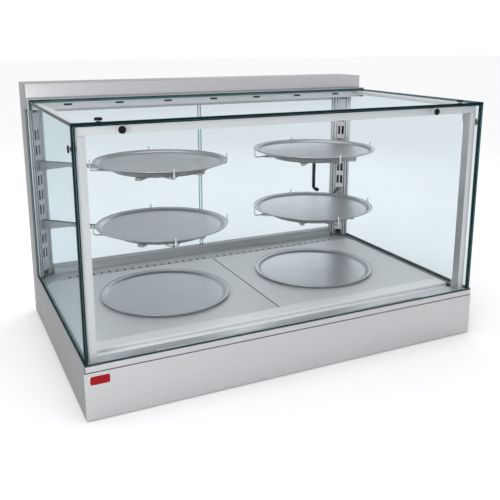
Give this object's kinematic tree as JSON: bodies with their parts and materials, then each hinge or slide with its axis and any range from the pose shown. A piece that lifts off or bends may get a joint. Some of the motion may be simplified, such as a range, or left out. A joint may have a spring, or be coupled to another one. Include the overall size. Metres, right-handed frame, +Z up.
{
  "type": "heated food display case",
  "caption": "Countertop heated display case: steel base with warm deck, glass box on a tube frame, rear hood, sliding rear doors and cantilever racks for round pans.",
  "frame": {"origin": "on the counter under the middle of the case", "axes": "+X along the long side to the customer's right, +Y from the customer's side to the sliding doors, +Z up"},
  "size_m": [1.156, 0.756, 0.743],
  "materials": {
    "satin_steel": "satin, fine horizontal grain",
    "deck_steel": "matt, fine speckle",
    "silver_frame": "satin silver coating",
    "clear_glass": "clear, green edges",
    "black_plastic": "matt, fine texture",
    "rack_wire": "bright plated",
    "pan_aluminium": "spun, satin",
    "foot_rubber": "matt",
    "galvanised_steel": "spangled zinc",
    "lamp_lens": "translucent white"
  },
  "bodies": {
    "case": {"base_tray": "galvanised_steel", "front_panel": "satin_steel", "side_panel_left": "satin_steel", "side_panel_right": "satin_steel", "rear_panel": "satin_steel", "front_sill": "satin_steel", "front_ledge": "deck_steel", "deck_left": "deck_steel", "deck_right": "deck_steel", "rear_air_strip": "deck_steel", "foot_front_left": "foot_rubber", "foot_front_right": "foot_rubber", "foot_rear_left": "foot_rubber", "foot_rear_right": "foot_rubber", "front_glass": "clear_glass", "top_glass": "clear_glass", "side_glass_left": "clear_glass", "side_glass_right": "clear_glass", "front_post_left": "silver_frame", "front_post_right": "silver_frame", "front_top_rail": "silver_frame", "side_top_rail_left": "silver_frame", "side_top_rail_right": "silver_frame", "glass_fixing_front_left": "black_plastic", "glass_fixing_front_right": "black_plastic", "glass_fixing_top_left": "black_plastic", "glass_fixing_top_right": "black_plastic", "glass_fixing_side_left": "black_plastic", "glass_fixing_side_right": "black_plastic", "rear_post_left": "silver_frame", "rear_post_right": "silver_frame", "standard_left": "silver_frame", "standard_right": "silver_frame", "hood_shell": "satin_steel", "rear_top_rail": "silver_frame", "light_bar": "lamp_lens", "door_track_bottom": "silver_frame", "door_track_top": "silver_frame", "blower_housing": "galvanised_steel", "heating_element": "galvanised_steel", "control_panel": "black_plastic"},
    "left_door": {"door_left": "clear_glass", "door_handle_left": "black_plastic"},
    "right_door": {"door_right": "clear_glass", "door_handle_right": "black_plastic"},
    "middle_rack_left": {"rack_middle_left": "rack_wire"},
    "middle_pan_left": {"pan_middle_left": "pan_aluminium"},
    "middle_rack_right": {"rack_middle_right": "rack_wire"},
    "middle_pan_right": {"pan_middle_right": "pan_aluminium"},
    "upper_rack_left": {"rack_upper_left": "rack_wire"},
    "upper_pan_left": {"pan_upper_left": "pan_aluminium"},
    "upper_rack_right": {"rack_upper_right": "rack_wire"},
    "upper_pan_right": {"pan_upper_right": "pan_aluminium"},
    "deck_pan_left": {"pan_deck_left": "pan_aluminium"},
    "deck_pan_right": {"pan_deck_right": "pan_aluminium"},
    "fan": {"blower_wheel": "black_plastic"},
    "switch": {"power_switch": "black_plastic"},
    "down_button": {"temperature_down_button": "black_plastic"},
    "up_button": {"temperature_up_button": "black_plastic"},
    "drawer": {"water_drawer": "satin_steel"}
  },
  "joints": [
    {"name": "left_door_slide", "type": "slide", "parent": "case", "child": "left_door", "axis": [1, 0, 0], "range_m": [0, 0.45]},
    {"name": "right_door_slide", "type": "slide", "parent": "case", "child": "right_door", "axis": [1, 0, 0], "range_m": [-0.45, 0]},
    {"name": "middle_rack_left_lift", "type": "slide", "parent": "case", "child": "middle_rack_left", "axis": [0, 0, 1], "range_m": [0, 0.007]},
    {"name": "middle_pan_left_lift", "type": "slide", "parent": "middle_rack_left", "child": "middle_pan_left", "axis": [0, 0, 1], "range_m": [0, 0.05]},
    {"name": "middle_rack_right_lift", "type": "slide", "parent": "case", "child": "middle_rack_right", "axis": [0, 0, 1], "range_m": [0, 0.007]},
    {"name": "middle_pan_right_lift", "type": "slide", "parent": "middle_rack_right", "child": "middle_pan_right", "axis": [0, 0, 1], "range_m": [0, 0.05]},
    {"name": "upper_rack_left_lift", "type": "slide", "parent": "case", "child": "upper_rack_left", "axis": [0, 0, 1], "range_m": [0, 0.007]},
    {"name": "upper_pan_left_lift", "type": "slide", "parent": "upper_rack_left", "child": "upper_pan_left", "axis": [0, 0, 1], "range_m": [0, 0.05]},
    {"name": "upper_rack_right_lift", "type": "slide", "parent": "case", "child": "upper_rack_right", "axis": [0, 0, 1], "range_m": [0, 0.007]},
    {"name": "upper_pan_right_lift", "type": "slide", "parent": "upper_rack_right", "child": "upper_pan_right", "axis": [0, 0, 1], "range_m": [0, 0.05]},
    {"name": "deck_pan_left_lift", "type": "slide", "parent": "case", "child": "deck_pan_left", "axis": [0, 0, 1], "range_m": [0, 0.05]},
    {"name": "deck_pan_right_lift", "type": "slide", "parent": "case", "child": "deck_pan_right", "axis": [0, 0, 1], "range_m": [0, 0.05]},
    {"name": "fan_spin", "type": "hinge", "parent": "case", "child": "fan", "pos_m": [0, 0.06, 0.04], "axis": [0, 0, 1], "continuous": true},
    {"name": "switch_rock", "type": "hinge", "parent": "case", "child": "switch", "pos_m": [0.455, 0.369, 0.07], "axis": [1, 0, 0], "range_deg": [-8, 8]},
    {"name": "down_button_press", "type": "slide", "parent": "case", "child": "down_button", "axis": [0, -1, 0], "range_m": [0, 0.002], "stiffness_N_per_m": 300},
    {"name": "up_button_press", "type": "slide", "parent": "case", "child": "up_button", "axis": [0, -1, 0], "range_m": [0, 0.002], "stiffness_N_per_m": 300},
    {"name": "drawer_slide", "type": "slide", "parent": "case", "child": "drawer", "axis": [0, 1, 0], "range_m": [0, 0.17]}
  ]
}
